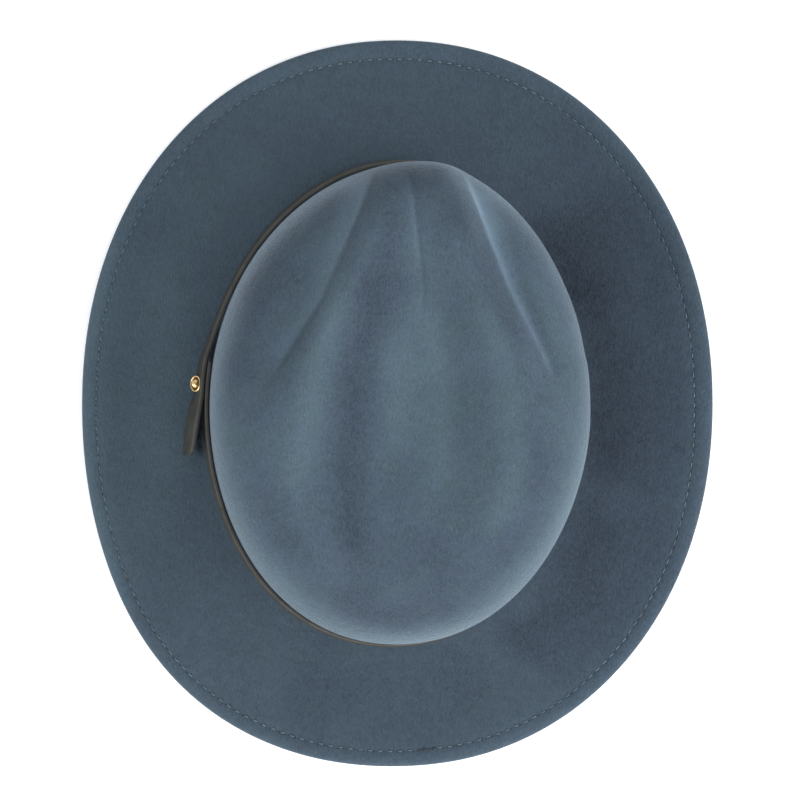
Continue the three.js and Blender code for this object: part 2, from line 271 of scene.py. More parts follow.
# painted light (plus) and painted shade (minus) strokes on the felt, standing in for how the light falls on the
# dents, shoulder and brim: places and half widths in mm
paintedLightAndShade = {
    "crown": [
        {"line": [(26, -64), (32, -37), (37.5, -12), (41, 13), (45, 35), (41, 56)],
         "width": 6.0, "tone": 0.26},
        {"line": [(-8, -50), (1, -21), (4, 6), (3, 20)], "width": 6.0, "tone": 0.16},
        {"line": [(-11, -46), (-14, -26), (-15.6, 1), (-15, 29), (-7, 46)], "width": 6.5, "tone": 0.34},
        {"line": [(-29, -54), (-39, -23), (-44.6, 1), (-46, 22), (-40, 47), (-29, 70)],
         "width": 6.0, "tone": 0.20},
        {"line": [(10, -76), (20, -51), (29, -34.6), (44, -12)], "width": 2.4, "tone": 0.12},
        {"line": [(9, -70), (15.5, -32), (20, -4), (23, 29), (22, 56), (16, 72)],
         "width": 8.5, "tone": -0.42},
        {"line": [(-22, -62), (-26.5, -21), (-29, 15), (-25, 46)], "width": 5.5, "tone": 0.03},
        {"line": [(44, -62), (58, -40), (68, -20), (71, -5)], "width": 8.0, "tone": -0.24},
        {"line": [(-55.7, -40), (-59, -21), (-60, -12)], "width": 4.5, "tone": -0.12},
        {"line": [(-56, -52), (-64, -30), (-68, -8)], "width": 5.0, "tone": 0.14},
        {"line": [(-22, -86), (-31, -65.5), (-41, -44.5), (-52, -22)], "width": 5.0, "tone": -0.34},
        {"line": [(12, -90), (-1.4, -94), (-16, -89)], "width": 7.0, "tone": -0.20},
        {"line": [(4, -82), (5.5, -57)], "width": 6.0, "tone": -0.16},
        {"line": [(-17, -82), (-19, -57)], "width": 6.0, "tone": -0.12},
        {"line": [(-53, 8), (-56, 24), (-53, 42)], "width": 5.0, "tone": -0.18},
        {"line": [(20, 48), (6, 60), (-2, 74)], "width": 19.0, "tone": -0.14},
        {"line": [(26, -96), (43, -88), (58, -75), (70, -59), (78, -42)], "width": 9.5, "tone": -0.80},
        {"line": [(20, -98), (-4, -101), (-22, -98)], "width": 4.5, "tone": -0.50},
        {"line": [(-46, -88), (-64, -66), (-78, -36)], "width": 7.0, "tone": -0.22},
        {"line": [(-4, -20), (-6, 0), (-6, 12)], "width": 7.0, "tone": 0.20},
        {"line": [(1.2, -56), (1.2, -28)], "width": 8.0, "tone": -0.20},
        {"line": [(-8, 70), (-26, 68), (-42, 56)], "width": 12.0, "tone": -0.20},
        {"line": [(42, 34), (44, 52), (56, 68)], "width": 9.0, "tone": -0.15},
        {"line": [(32, 86), (2, 94), (-28, 88)], "width": 7.0, "tone": -0.34},
        # the shoulder: painted shade where it starts to turn over, painted light down the wall, at the back and
        # sides
        {"line": [(62, 20), (54, 52), (34, 76), (0, 86), (-34, 76), (-58, 46), (-66, 6)],
         "width": 8.0, "tone": -0.18},
        {"line": [(80, 30), (66, 64), (38, 92), (0, 101), (-36, 93), (-62, 66), (-77, 30), (-80, -8)],
         "width": 7.5, "tone": 0.18},
    ],
    "brim": [
        {"line": [(-74, -98), (-92, -62), (-99, -20), (-100, 40)], "width": 15.0, "tone": -0.40},
        {"line": [(-60, -90), (-82, -50), (-90, 0), (-87, 44)], "width": 10.0, "tone": -0.22},
        {"line": [(-92, -104), (-114, -70), (-122, -30), (-121, 30), (-110, 78), (-88, 108)],
         "width": 15.0, "tone": -0.26},
        {"line": [(-92, 44), (-86, 84), (-56, 122)], "width": 24.0, "tone": -0.34},
        {"line": [(-44, 122), (0, 130), (56, 124)], "width": 26.0, "tone": -0.24},
        {"line": [(-88, 36), (-85, 66), (-72, 93), (-40, 108)], "width": 12.0, "tone": -0.14},
        {"line": [(108, -70), (116, 0), (110, 70)], "width": 18.0, "tone": 0.14},
        {"line": [(56, -112), (92, -84), (116, -46)], "width": 15.0, "tone": 0.16},
        {"line": [(100, -54), (104, 40)], "width": 13.0, "tone": 0.20},
        {"line": [(128, -92), (139, -20), (137, 40), (126, 92)], "width": 8.0, "tone": 0.30},
        {"line": [(-58, -84), (-72, -64), (-84, -44)], "width": 9.0, "tone": -0.30},
    ],
    # shade where the strap stands off the crown, and under its free end
    "strap": [
        {"line": [(78.6, -34), (81.4, -25), (83.4, -17)], "width": 3.0, "tone": -1.1},
        {"line": [(86.6, -2), (88.6, 8), (89.4, 16), (88.2, 23)], "width": 2.4, "tone": -1.2},
    ],
}

# where strokes show: heights in metres
strokeReach = {
    "crown": (0.014, 0.026),      # below the first it is brim, above the second crown
    "wall": (0.056, 0.086),       # the crown's strokes come up to full strength over these heights
    "wallShare": 0.12,            # what is left of them lower down the wall
    "strap": (0.032, 0.026),      # the strap's shade fades out upwards
    "ends": 0.25, "endShare": 0.35,     # share of a stroke over which its ends fade, and where the fade begins
    "wanderScale": 45, "wander": 0.35,  # unevenness of the sides, as a share of the width
    "darkest": -0.55,             # tone that crossing strokes on the crown don't pass
    "facing": -0.3,               # faces that look further down than this get none
}

# how far the row of stitches is in from the brim's edge, by direction (0 wearer's left, 90 back)
stitchRow = {
    "directions": [0, 45, 90, 135, 180, 225, 270, 315],
    "insets": [6.5, 6.7, 7.2, 7.2, 8.6, 8.8, 8.8, 7.4],
    "pitch": 4.5,
    "samples": 720,
    "window": 1.3,          # degrees to each side in which the brim's farthest point is looked for
    "outlineRounds": 6, "insetRounds": 200,
}


def evened(values, rounds):
    # a closed run, each value drawn towards its neighbours
    for _ in range(rounds):
        values = (np.roll(values, 1) + 2 * values + np.roll(values, -1)) / 4
    return values


def brimRow(points):
    # outline of the brim and the stitch row inside it, as closed runs of plan points from direction 0
    angles = np.arctan2(points[:, 1], points[:, 0])
    radii = np.hypot(points[:, 0], points[:, 1])
    count = stitchRow["samples"]
    turns = np.arange(count) * 2 * np.pi / count
    window = math.radians(stitchRow["window"])
    reach = evened(np.array([
        radii[np.abs(np.angle(np.exp(1j * (angles - turn)))) < window].max() for turn in turns]),
        stitchRow["outlineRounds"])
    outline = np.stack([reach * np.cos(turns), reach * np.sin(turns)], 1)
    tangent = np.roll(outline, -1, 0) - np.roll(outline, 1, 0)
    inward = np.stack([-tangent[:, 1], tangent[:, 0]], 1)
    inward /= np.hypot(inward[:, 0], inward[:, 1])[:, None]
    inset = np.interp(np.degrees(turns), stitchRow["directions"] + [360],
                      stitchRow["insets"] + stitchRow["insets"][:1]) * mm
    inset = evened(inset, stitchRow["insetRounds"])
    row = outline + inward * inset[:, None]
    run = np.concatenate([[0], np.cumsum(np.hypot(*(np.roll(row, -1, 0) - row).T))])
    return {"turns": turns, "reach": reach, "inset": inset, "row": row, "inward": inward, "run": run,
            "length": run[-1], "stitches": round(run[-1] / (stitchRow["pitch"] * mm))}


def around(brim, key, angles):
    # value of one of the brim's runs at any angle
    values = brim[key]
    closed = values if len(values) > len(brim["turns"]) else np.append(values, values[0])
    return np.interp(np.mod(angles, 2 * np.pi), np.append(brim["turns"], 2 * np.pi), closed)


def foldedDepth(crease, signed, along):
    # how far a crease presses in, in mm, by the distance from its line and the share along it
    d = signed * crease["outer"] / mm
    depth = np.zeros(len(d))
    if "drop" in crease:
        depth += crease["drop"] * smoothStep(d / crease["dropWidth"]) * np.exp(-np.maximum(d, 0) / crease["reach"])
        lip = np.exp(-((d + creaseShape["lipPlace"]) / crease["lipWidth"]) ** 2)
        depth -= crease["lip"] * lip * (d < creaseShape["lipEnd"])
    if "trench" in crease:
        depth += crease["trench"] * np.exp(-np.abs(d / crease["trenchWidth"]) ** creaseShape["trenchPower"])
    return depth * ramp(along, 0, crease["fadeIn"]) * ramp(along, 1, crease["fadeOut"])


def makeFeltBody():
    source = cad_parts["felt_body"]
    obj = source.copy()
    obj.data = source.data.copy()
    obj.name = "woolFeltBody"
    bpy.context.scene.collection.objects.link(obj)
    obj.parent = None
    obj.data.materials.clear()
    pickOnly(obj)
    bpy.ops.object.mode_set(mode="EDIT")
    bpy.ops.mesh.select_all(action="SELECT")
    bpy.ops.mesh.remove_doubles(threshold=0.001 * mm)
    bpy.ops.mesh.tris_convert_to_quads(face_threshold=math.radians(60), shape_threshold=math.radians(60))
    bpy.ops.object.mode_set(mode="OBJECT")
    bpy.ops.object.shade_smooth()
    finer = obj.modifiers.new("finer", "SUBSURF")
    finer.levels = finer.render_levels = felt["levels"]
    bpy.ops.object.modifier_apply(modifier=finer.name)
    cutCreases(obj)
    brim = shapeFelt(obj)
    markMargin(obj, brim)
    print("felt body shaped:", len(obj.data.polygons), "faces")
    return obj, brim


def cutCreases(obj):
    # one more cut through the faces beside each crease, on the outside of the crown
    mesh = obj.data
    centres = np.array([tuple(face.center) for face in mesh.polygons])
    normals = np.array([tuple(face.normal) for face in mesh.polygons])
    outside = ((centres - felt["middle"]) * normals).sum(1) > 0
    near = np.zeros(len(centres), dtype=bool)
    for crease in creases.values():
        signed, along = awayFrom(centres, crease["line"])
        near |= (np.abs(signed) < felt["fineBand"] * mm) & (along < 0.999)
    near &= outside & (centres[:, 2] > felt["creaseHeights"][0])
    bpy.ops.object.mode_set(mode="EDIT")
    bpy.ops.mesh.select_mode(type="FACE")
    bpy.ops.mesh.select_all(action="DESELECT")
    bpy.ops.object.mode_set(mode="OBJECT")
    mesh.polygons.foreach_set("select", near)
    bpy.ops.object.mode_set(mode="EDIT")
    bpy.ops.mesh.subdivide(number_cuts=1, smoothness=0, ngon=True)
    bpy.ops.mesh.select_all(action="DESELECT")
    bpy.ops.object.mode_set(mode="OBJECT")


def shapeFelt(obj):
    mesh = obj.data
    points = vertexArray(mesh, "co")
    normals = vertexArray(mesh, "normal")
    outside = ((points - felt["middle"]) * normals).sum(1) > 0
    outward = np.where(outside, 1, -1)[:, None] * normals
    heights = points[:, 2]
    pressed = np.zeros(len(points))
    for name, crease in creases.items():
        signed, along = awayFrom(points, crease["line"])
        pressed += foldedDepth(crease, signed, along)
        setAttribute(mesh, name + "Away", signed * crease["outer"])
        setAttribute(mesh, name + "Along", along)
    moved = points - outward * (pressed * ramp(heights, *felt["creaseHeights"]) * mm)[:, None]

    # the brim: slow waves, the fuller margin and the pull of the stitches
    brim = brimRow(points)
    angles = np.arctan2(points[:, 1], points[:, 0])
    away = around(brim, "reach", angles) - np.hypot(points[:, 0], points[:, 1])
    inset = around(brim, "inset", angles)
    wave = planNoise(points, felt["waveScale"], 0.7)
    onBrim = ramp(heights, *felt["waveHeights"]) * ramp(away, *felt["waveReach"])
    moved[:, 2] += wave * onBrim * ramp(heights, *felt["underside"]) * felt["waviness"] * mm
    share = np.clip(away / inset, 0, 1)
    puff = np.sin(share ** felt["puffBias"] * math.pi) * felt["puff"] * (away < inset)
    groove = felt["groove"] * np.exp(-((away - inset) / (felt["grooveWidth"] * mm)) ** 2)
    moved[:, 2] += (puff - groove) * mm * np.maximum(normals[:, 2], 0) * (heights < felt["marginTop"])

    setAttribute(mesh, "tone", paintedLightAndShadeTone(points, normals, outside))
    mesh.vertices.foreach_set("co", moved.ravel())
    mesh.update()
    return brim


def planNoise(points, scale, layer):
    return np.array([noise.noise(Vector((p[0] * scale, p[1] * scale, layer))) for p in points])


def paintedLightAndShadeTone(points, normals, outside):
    # all painted light and shade strokes in one value for each vertex, minus is darker
    heights = points[:, 2]
    onCrown = ramp(heights, *strokeReach["crown"])
    lowShare = strokeReach["wallShare"]
    shares = {
        "crown": onCrown * (lowShare + (1 - lowShare) * ramp(heights, *strokeReach["wall"])),
        "brim": 1 - onCrown,
        "strap": ramp(heights, *strokeReach["strap"]),
    }
    tone = np.zeros(len(points))
    for place, share in shares.items():
        for paintedStroke in paintedLightAndShade[place]:
            signed, along = awayFrom(points, paintedStroke["line"])
            ends = (smoothStep(along / strokeReach["ends"] + strokeReach["endShare"])
                    * smoothStep((1 - along) / strokeReach["ends"] + strokeReach["endShare"]))
            width = paintedStroke["width"] * mm
            wander = planNoise(points, strokeReach["wanderScale"], paintedStroke["width"])
            signed = signed + wander * strokeReach["wander"] * width
            tone += paintedStroke["tone"] * share * ends * np.exp(-(signed / width) ** 2)
        if place == "crown":
            tone = np.maximum(tone, strokeReach["darkest"])
    # the painted light and shade strokes lie on the outside only: none inside the crown or under the brim
    return tone * np.where(onCrown > 0.5, outside, normals[:, 2] > strokeReach["facing"])


def markMargin(obj, brim):
    # uv map: x counts stitches round the brim, y is the distance inside the brim's edge less the row's, in mm
    mesh = obj.data
    points = vertexArray(mesh, "co")
    angles = np.mod(np.arctan2(points[:, 1], points[:, 0]), 2 * np.pi)
    total = brim["stitches"]
    count = around(brim, "run", angles) / brim["length"] * total
    away = around(brim, "reach", angles) - np.hypot(points[:, 0], points[:, 1])
    across = (away - around(brim, "inset", angles)) / mm
    corners, starts, sizes = [np.zeros(length, dtype=np.int64) for length in (
        len(mesh.loops), len(mesh.polygons), len(mesh.polygons))]
    mesh.loops.foreach_get("vertex_index", corners)
    mesh.polygons.foreach_get("loop_start", starts)
    mesh.polygons.foreach_get("loop_total", sizes)
    u, v = count[corners], across[corners]
    # a face over direction 0 counts on past the total
    highest = np.repeat(np.maximum.reduceat(u, starts), sizes)
    u = np.where(highest - u > total / 2, u + total, u)
    layer = mesh.uv_layers.new(name="margin")
    layer.data.foreach_set("uv", np.stack([u, v], 1).ravel().astype(np.float32))


feltLook = {
    "shader": {
        "Roughness": 0.95, "Specular IOR Level": 0.15, "Sheen Weight": 0.36, "Sheen Roughness": 0.30,
        "Sheen Tint": (0.72, 0.88, 1.0, 1)},
    # painted light: the crown's colour is lighter than the brim's, standing in for the stronger light on the crown
    "brim": (0.0462, 0.0655, 0.0855),
    "crown": (0.0565, 0.0800, 0.1025),
    "crownHeights": (0.012, 0.040),      # the painted light changes from brim to crown colour over these heights
    "violet": (1.00, 0.985, 1.07),       # slow drifts of hue in the dyed wool
    "green": (0.955, 1.02, 0.95),
    "hueSpread": 3.2,
    "brimDrift": 0.35, "crownDrift": 0.30,       # how far the hue drifts, and how much further on the crown
    "brimLean": 0.65, "crownLean": 0.15,         # how far the painted light and shade strokes lean the hue, to green when lighter
    "paintedStroke": 0.80,         # how much a painted light stroke of tone 1 lightens the felt
    "clump": 0.30, "blotch": 0.22, "fibre": 0.95,     # how much each size of unevenness shows
    "clumpScale": 260, "blotchScale": 38, "fibreScale": 1150,
    "strandScale": 1700, "strandTurns": (0.6, -0.9), "strandStretch": (1, 0.25, 1),
    "lint": (0.16, 0.19, 0.22), "lintShare": 0.22,
    "relief": 0.30, "pull": 0.35, "press": 0.6,       # mm of relief: nap, stitch row, right crease
}

# painted light and shade beside the creases: distances outside the line in mm, places as shares along it
creaseLook = {
    "heights": (0.074, 0.092),
    "wedge": 1.1, "wedgeRise": (0.0, 2.4), "wedgeFrom": 0.5, "wedgeWidth": 17, "wedgeTaper": 14,
    "wedgeStart": 1.2, "wedgeLoss": 1.15,        # strength at the front, and what it loses along the line
    "rightLine": 1.3, "rightPlace": 0.9, "rightStart": 0.04, "rightGain": 0.30, "rightEnd": (0.90, 1.0),
    "bank": 0.40, "bankRise": (0.2, 3.4), "bankFrom": 3.0, "bankWidth": 14, "bankTaper": 4,
    "leftLine": 1.5, "leftDark": 0.20, "leftEnd": (0.75, 1.0),
    "centreLine": 0.9, "centreLight": 0.40, "centreStart": (0.06, 0.2), "centreEnd": (0.45, 0.8),
    "pressPlace": 0.4, "pressWidth": (-1.6, 1.8), "pressStart": (0.0, 0.12), "pressStrength": 0.5,
}

# stitch row, with painted light on the margin outside it and painted shade in its groove and holes: distances in
# mm from the row, plus is towards the crown
marginLook = {
    "holePlaces": (0.235, 0.765),     # shares of a stitch's pitch
    "holeSize": (0.18, 0.62), "hole": 0.14,
    "grooveWidth": 0.8, "groove": 0.03,
    "outer": 0.13, "outerEdge": (-1.2, 0.2),     # how much lighter the margin outside the row is: painted light on its rounded edge
    "reach": (2.5, 3.5), "heights": (0.018, 0.02),
    "groovePull": 0.6,
}


def creaseLines(tree, height):
    # painted light and shade beside the creases, and the pressed side of the right one
    look = creaseLook
    right, left, centre = [attribute(tree, name + "Away") * 1000 for name in ("right", "left", "centre")]
    rightAlong, leftAlong, centreAlong = [attribute(tree, name + "Along") for name in ("right", "left", "centre")]
    endRight = 1 - rightAlong.between(*look["rightEnd"])
    endLeft = 1 - leftAlong.between(*look["leftEnd"])
    endCentre = 1 - centreAlong.between(*look["centreEnd"])
    wedgeWidth = look["wedgeWidth"] - rightAlong * look["wedgeTaper"]
    wedge = (right.between(*look["wedgeRise"]) * (1 - right.between(look["wedgeFrom"], wedgeWidth)) * endRight
             * (look["wedgeStart"] - rightAlong * look["wedgeLoss"]))
    bankWidth = look["bankWidth"] - leftAlong * look["bankTaper"]
    bank = left.between(*look["bankRise"]) * (1 - left.between(look["bankFrom"], bankWidth)) * endLeft
    rightLine = ((right - look["rightPlace"]).bell(look["rightLine"]) * endRight
                 * (look["rightStart"] + rightAlong * look["rightGain"]))
    leftLine = left.bell(look["leftLine"]) * endLeft
    centreLine = centre.bell(look["centreLine"]) * endCentre * centreAlong.between(*look["centreStart"])
    # painted light on the wedge, bank and centre line, painted shade on the left line
    lines = (rightLine + wedge * look["wedge"] + bank * look["bank"] - leftLine * look["leftDark"]
             + centreLine * look["centreLight"]) * height.between(*look["heights"])
    pressed = ((right - look["pressPlace"]).between(*look["pressWidth"]) * endRight
               * rightAlong.between(*look["pressStart"]))
    return lines, pressed


def marginMarks(tree, height):
    # painted light and shade of the stitch row and margin, and the height of the pulled felt
    look = marginLook
    margin = Wire(tree, None).node("ShaderNodeUVMap", {"uv_map": "margin"}, {})
    count, across = partOf(margin, "X"), partOf(margin, "Y")
    phase = count.maths("FRACT", count)
    spots = []
    for share in look["holePlaces"]:
        along = (phase - share) * stitchRow["pitch"]
        spots.append((along * along + across * across).root())
    holes = 1 - spots[0].maths("MINIMUM", *spots).between(*look["holeSize"])
    groove = across.bell(look["grooveWidth"])
    outer = 1 - across.between(*look["outerEdge"])
    onMargin = (1 - across.between(*look["reach"])) * (1 - height.between(*look["heights"]))
    # painted light on the outer margin, painted shade in the groove and holes
    tone = 1 + onMargin * (outer * look["outer"] - groove * look["groove"] - holes * look["hole"])
    return tone, 1 - (groove * look["groovePull"] + holes) * onMargin


def makeFeltMaterial():
    look = feltLook
    material, tree, shader = newMaterial("woolFelt", look["shader"])
    place = objectPlace(tree)
    height = partOf(place, "Z")
    blotch = place.noise(look["blotchScale"], 3, 0.5) - 0.5
    clump = place.noise(look["clumpScale"], 3, 0.6) - 0.5
    fibre = place.noise(look["fibreScale"], 4, 0.75) - 0.5
    first, second = [place.node("ShaderNodeMapping", {}, {
        "Vector": place, "Rotation": (0, 0, turn), "Scale": look["strandStretch"]}).noise(
        look["strandScale"], 2, 0.6) for turn in look["strandTurns"]]
    strands = first + second - 1

    # painted light and shade: crown lighter than the brim, painted light and shade beside the creases, strokes of
    # painted light and shade
    # painted light and shade strokes, from the vertex attribute
    paintedStroke = attribute(tree, "tone")
    tone = paintedStroke * look["paintedStroke"] + clump * look["clump"] + blotch * look["blotch"]
    lines, pressed = creaseLines(tree, height)
    gain = 1 + tone + lines + (fibre + strands * 0.5) * look["fibre"]
    isCrown = height.between(*look["crownHeights"])
    # painted light: the crown gets the lighter colour
    base = isCrown.blend(look["brim"], look["crown"])
    drift = (place.noise(95, 3, 0.6) * 0.6 + place.noise(420, 2, 0.6) * 0.4 - 0.5) * look["hueSpread"]
    leaning = (0.5 + drift * (look["brimDrift"] + isCrown * look["crownDrift"])
               + paintedStroke * (look["brimLean"] + isCrown * look["crownLean"]))
    hue = leaning.between(0.0, 1.0).blend(look["violet"], look["green"])
    marginTone, pulledHeight = marginMarks(tree, height)
    toned = base.times(hue).scaled(gain).scaled(marginTone)

    # stray pale lint on the nap
    lint = place.noise(640, 2, 0.5).between(0.745, 0.77) * place.noise(90, 1, 0.5).between(0.5, 0.6)
    nap = fibre * 0.8 + strands * 0.6 + clump * 1.2
    relief = nap.bump(look["relief"] * mm, 0.9)
    pulled = pulledHeight.bump(look["pull"] * mm, 0.9, relief)
    feed(tree, shader, {
        "Base Color": (lint * look["lintShare"]).blend(toned, look["lint"]),
        "Roughness": 0.93 + fibre * 0.1,
        "Normal": (pressed * -1).bump(look["press"] * mm, creaseLook["pressStrength"], pulled),
    })
    return material


feltBody, brimEdge = makeFeltBody()
feltBody.data.materials.append(makeFeltMaterial())
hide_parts("felt_body")
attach(feltBody, "root")
print("felt body finished")

feltTree = BVHTree.FromObject(feltBody, bpy.context.evaluated_depsgraph_get())


# running stitches round the brim, lengths in mm

stitches = {
    "length": 2.5,       # of thread on show
    "radius": 0.25,
    "arch": 0.22,        # how far the middle stands off the felt
    "dip": 0.30,         # how far the ends go in
    "sides": 7, "rings": 7,
    "bend": 2.6,         # higher keeps the middle flatter and turns the ends down more sharply
    "taper": 0.45, "flatness": 0.8,
    "lengthSpread": 0.07, "archSpread": 0.2, "wander": 0.12,    # unevenness: shares, and across the row
    "doubled": (-15.0, -6.0), "doubledBack": 120,   # where in X and how far back the row starts and ends
    # the doubled stitches, painted dark as shade in the crowded holes: shade of the row's own, then for each other
    # pitches on, length, inwards and shade
    "doubledShade": 0.75, "extra": [(0.45, 1.0, 0.40, 1.0), (0.10, 0.7, -0.50, 0.8)],
    "rayHeight": 0.05,   # metres above or below the brim from which the felt is looked for
}


def stitchPoints(start, end, up, arch):
    # one stitch as rings of points from end to end
    radius, dip = stitches["radius"] * mm, stitches["dip"] * mm
    middle = (start + end) / 2
    half = (end - start) / 2
    forward = half.normalized()
    side = forward.cross(up).normalized()
    rings = []
    for i in range(stitches["rings"]):
        share = -1 + 2 * i / (stitches["rings"] - 1)
        lift = arch - (arch + dip) * abs(share) ** stitches["bend"]
        centre = middle + half * share + up * lift
        thick = radius * (1 - stitches["taper"] * abs(share) ** 4)
        for j in range(stitches["sides"]):
            turn = 2 * math.pi * j / stitches["sides"]
            rings.append(centre + side * (thick * math.cos(turn))
                         + up * (thick * stitches["flatness"] * math.sin(turn)))
    return rings


def ringFaces(rings, sides, first):
    faces = []
    for i in range(rings - 1):
        for j in range(sides):
            a, b = first + i * sides + j, first + i * sides + (j + 1) % sides
            faces.append((a, a + sides, b + sides, b))
    faces.append(tuple(first + j for j in range(sides)))
    faces.append(tuple(first + (rings - 1) * sides + j for j in reversed(range(sides))))
    return faces


def rowPlace(brim, length, inward):
    # plan point on the row at a length along it, moved inwards
    at = length % brim["length"]
    index = int(np.searchsorted(brim["run"], at, side="right")) - 1
    share = (at - brim["run"][index]) / (brim["run"][index + 1] - brim["run"][index])
    following = (index + 1) % len(brim["row"])
    plan = brim["row"][index] * (1 - share) + brim["row"][following] * share
    plan = plan + brim["inward"][index] * inward
    return Vector((plan[0], plan[1], 0))


def onFelt(plan, fromAbove):
    side = 1 if fromAbove else -1
    start = Vector((plan.x, plan.y, side * stitches["rayHeight"]))
    hit, normal, _, _ = feltTree.ray_cast(start, Vector((0, 0, -side)))
    return hit, normal


def makeStitches(brim):
    points, faces, shades = [], [], []
    total = brim["stitches"]
    pitch = brim["length"] / total

    def addStitch(at, length, inward, fromAbove, shade=0.0):
        start, normalA = onFelt(rowPlace(brim, at - length / 2, inward), fromAbove)
        end, normalB = onFelt(rowPlace(brim, at + length / 2, inward), fromAbove)
        first = len(points)
        spread = stitches["archSpread"]
        arch = stitches["arch"] * mm * random.uniform(1 - spread, 1 + spread)
        points.extend(stitchPoints(start, end, (normalA + normalB).normalized(), arch))
        faces.extend(ringFaces(stitches["rings"], stitches["sides"], first))
        shades.extend([shade] * (len(points) - first))

    spread = stitches["lengthSpread"]
    for i in range(total):
        at = (i + 0.5) * pitch
        length = stitches["length"] * mm * random.uniform(1 - spread, 1 + spread)
        wander = random.uniform(-stitches["wander"], stitches["wander"]) * mm
        plan = rowPlace(brim, at, 0) / mm
        isDoubled = plan.y > stitches["doubledBack"] and stitches["doubled"][0] < plan.x < stitches["doubled"][1]
        addStitch(at, length, wander, True, stitches["doubledShade"] if isDoubled else 0.0)
        addStitch(at, length, wander, False)
        for further, share, inward, shade in stitches["extra"] if isDoubled else []:
            addStitch(at + pitch * further, length * share, inward * mm, True, shade)
    obj = newObject("brimStitches", points, faces)
    outwardFaces(obj)
    bpy.ops.object.shade_smooth()
    setAttribute(obj.data, "shade", shades)
    print("stitches sewn:", total, "to a side")
    return obj


threadLook = {
    "shader": {
        "Roughness": 0.80, "Specular IOR Level": 0.2, "Sheen Weight": 0.1, "Sheen Tint": (0.75, 0.9, 1.0, 1)},
    "dark": (0.088, 0.125, 0.146), "light": (0.128, 0.172, 0.196),
    # painted shade: the doubled stitches are near black
    "doubled": (0.020, 0.024, 0.030),
}


def makeThreadMaterial():
    material, tree, shader = newMaterial("thread", threadLook["shader"])
    place = objectPlace(tree)
    yarn = place.noise(55, 2, 0.5).between(0.3, 0.7).blend(threadLook["dark"], threadLook["light"])
    feed(tree, shader, {
        "Base Color": attribute(tree, "shade").blend(yarn, threadLook["doubled"]),
        "Normal": place.noise(2600, 2, 0.6).bump(0.08 * mm, 0.8),
    })
    return material


brimStitches = makeStitches(brimEdge)
brimStitches.data.materials.append(makeThreadMaterial())
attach(brimStitches, "root")
print("stitches finished")


# leather strap

# lengths in mm, directions in degrees round the crown from the wearer's left
strap = {
    "bottom": 16.3, "height": 13.0, "thickness": 1.8,
    "gap": 0.3,
    "lean": 1.2,             # the lower edge stands off further, as the wall does
    "start": -13.0,          # cut end of the inner layer
    "tailEnd": 14.5,         # end of the free tail
    "lift": 24.0,            # degrees before the inner layer's start from which the outer layer climbs over it
    "flare": 5.6, "tailLean": 3.4,      # how far the tail's end stands off, and its lower edge beyond that
    "corner": 3.0, "cornerRings": 8, "squareEnd": 0.25,
    "radius": 83,            # of the crown's foot where the tail ends
    "step": 1.25,            # degrees from ring to ring
    "span": 1.5,             # degrees to each side over which the wall's direction is taken
    "edge": 0.55, "edgePoints": 4,      # rounding of the edges
    "fullness": 1.04,        # the outer face swells a little between its edges
    "wander": 0.10, "wanderScale": 0.08,        # unevenness of its height
    "crisp": 50,             # degrees over which edges stay sharp
}

# the crown's middle in metres, where it stands by height, and how far out the rays start
crownMiddle = {"x": 0.0019, "y": 0.0006, "lean": -0.0034, "leanFrom": 0.011, "leanOver": 0.1,
               "skew": 0.0016, "rayStart": 0.125}

# outer layer: share along, climb over the inner layer, flare, lean
outerLayer = [
    (0.00, 0.00, 0.00, 0.00), (0.20, 0.15, 0.00, 0.00), (0.36, 0.55, 0.00, 0.00), (0.45, 1.00, 0.00, 0.10),
    (0.54, 1.00, 0.00, 0.45), (0.66, 1.00, 0.00, 0.45), (0.73, 1.00, 0.10, 0.90), (0.81, 1.00, 0.32, 1.00),
    (0.93, 1.00, 0.70, 0.90), (1.00, 1.00, 1.00, 0.80),
]


def onWall(degrees, height):
    turn = math.radians(degrees)
    out = Vector((math.cos(turn), math.sin(turn), 0))
    middle = crownMiddle
    leaned = middle["lean"] * (height - middle["leanFrom"]) / middle["leanOver"] + middle["skew"] * out.y
    centre = Vector((middle["x"] + leaned, middle["y"], height))
    return feltTree.ray_cast(centre + out * middle["rayStart"], -out)[0]


def layerShares(degrees):
    first = strap["start"] - strap["lift"]
    along = (degrees - 360 - first) / (strap["tailEnd"] - first)
    shares, climbs, flares, leans = zip(*outerLayer)
    return [float(np.interp(along, shares, values)) for values in (climbs, flares, leans)]


def strapSection(degrees, inset):
    high = (strap["bottom"] + strap["height"]) * mm
    low = strap["bottom"] * mm
    top = onWall(degrees, high)
    bottom = onWall(degrees, low)
    run = onWall(degrees + strap["span"], high) - onWall(degrees - strap["span"], high)
    outward = Vector((run.y, -run.x, 0)).normalized()
    climb, flare, lean = layerShares(degrees)
    upperOff = strap["gap"] + (strap["thickness"] + strap["gap"]) * climb + strap["flare"] * flare
    lowerOff = upperOff + strap["lean"] + strap["tailLean"] * lean
    sway = Vector((0, 0, noise.noise(Vector((degrees * strap["wanderScale"], 3.1, 0))) * strap["wander"] * mm))
    upper = top + outward * upperOff * mm + sway
    lower = bottom + outward * lowerOff * mm + sway
    up = (upper - lower).normalized()
    across = (outward - up * outward.dot(up)).normalized()
    return {"upper": upper, "lower": lower, "up": up, "across": across, "inset": inset * mm}


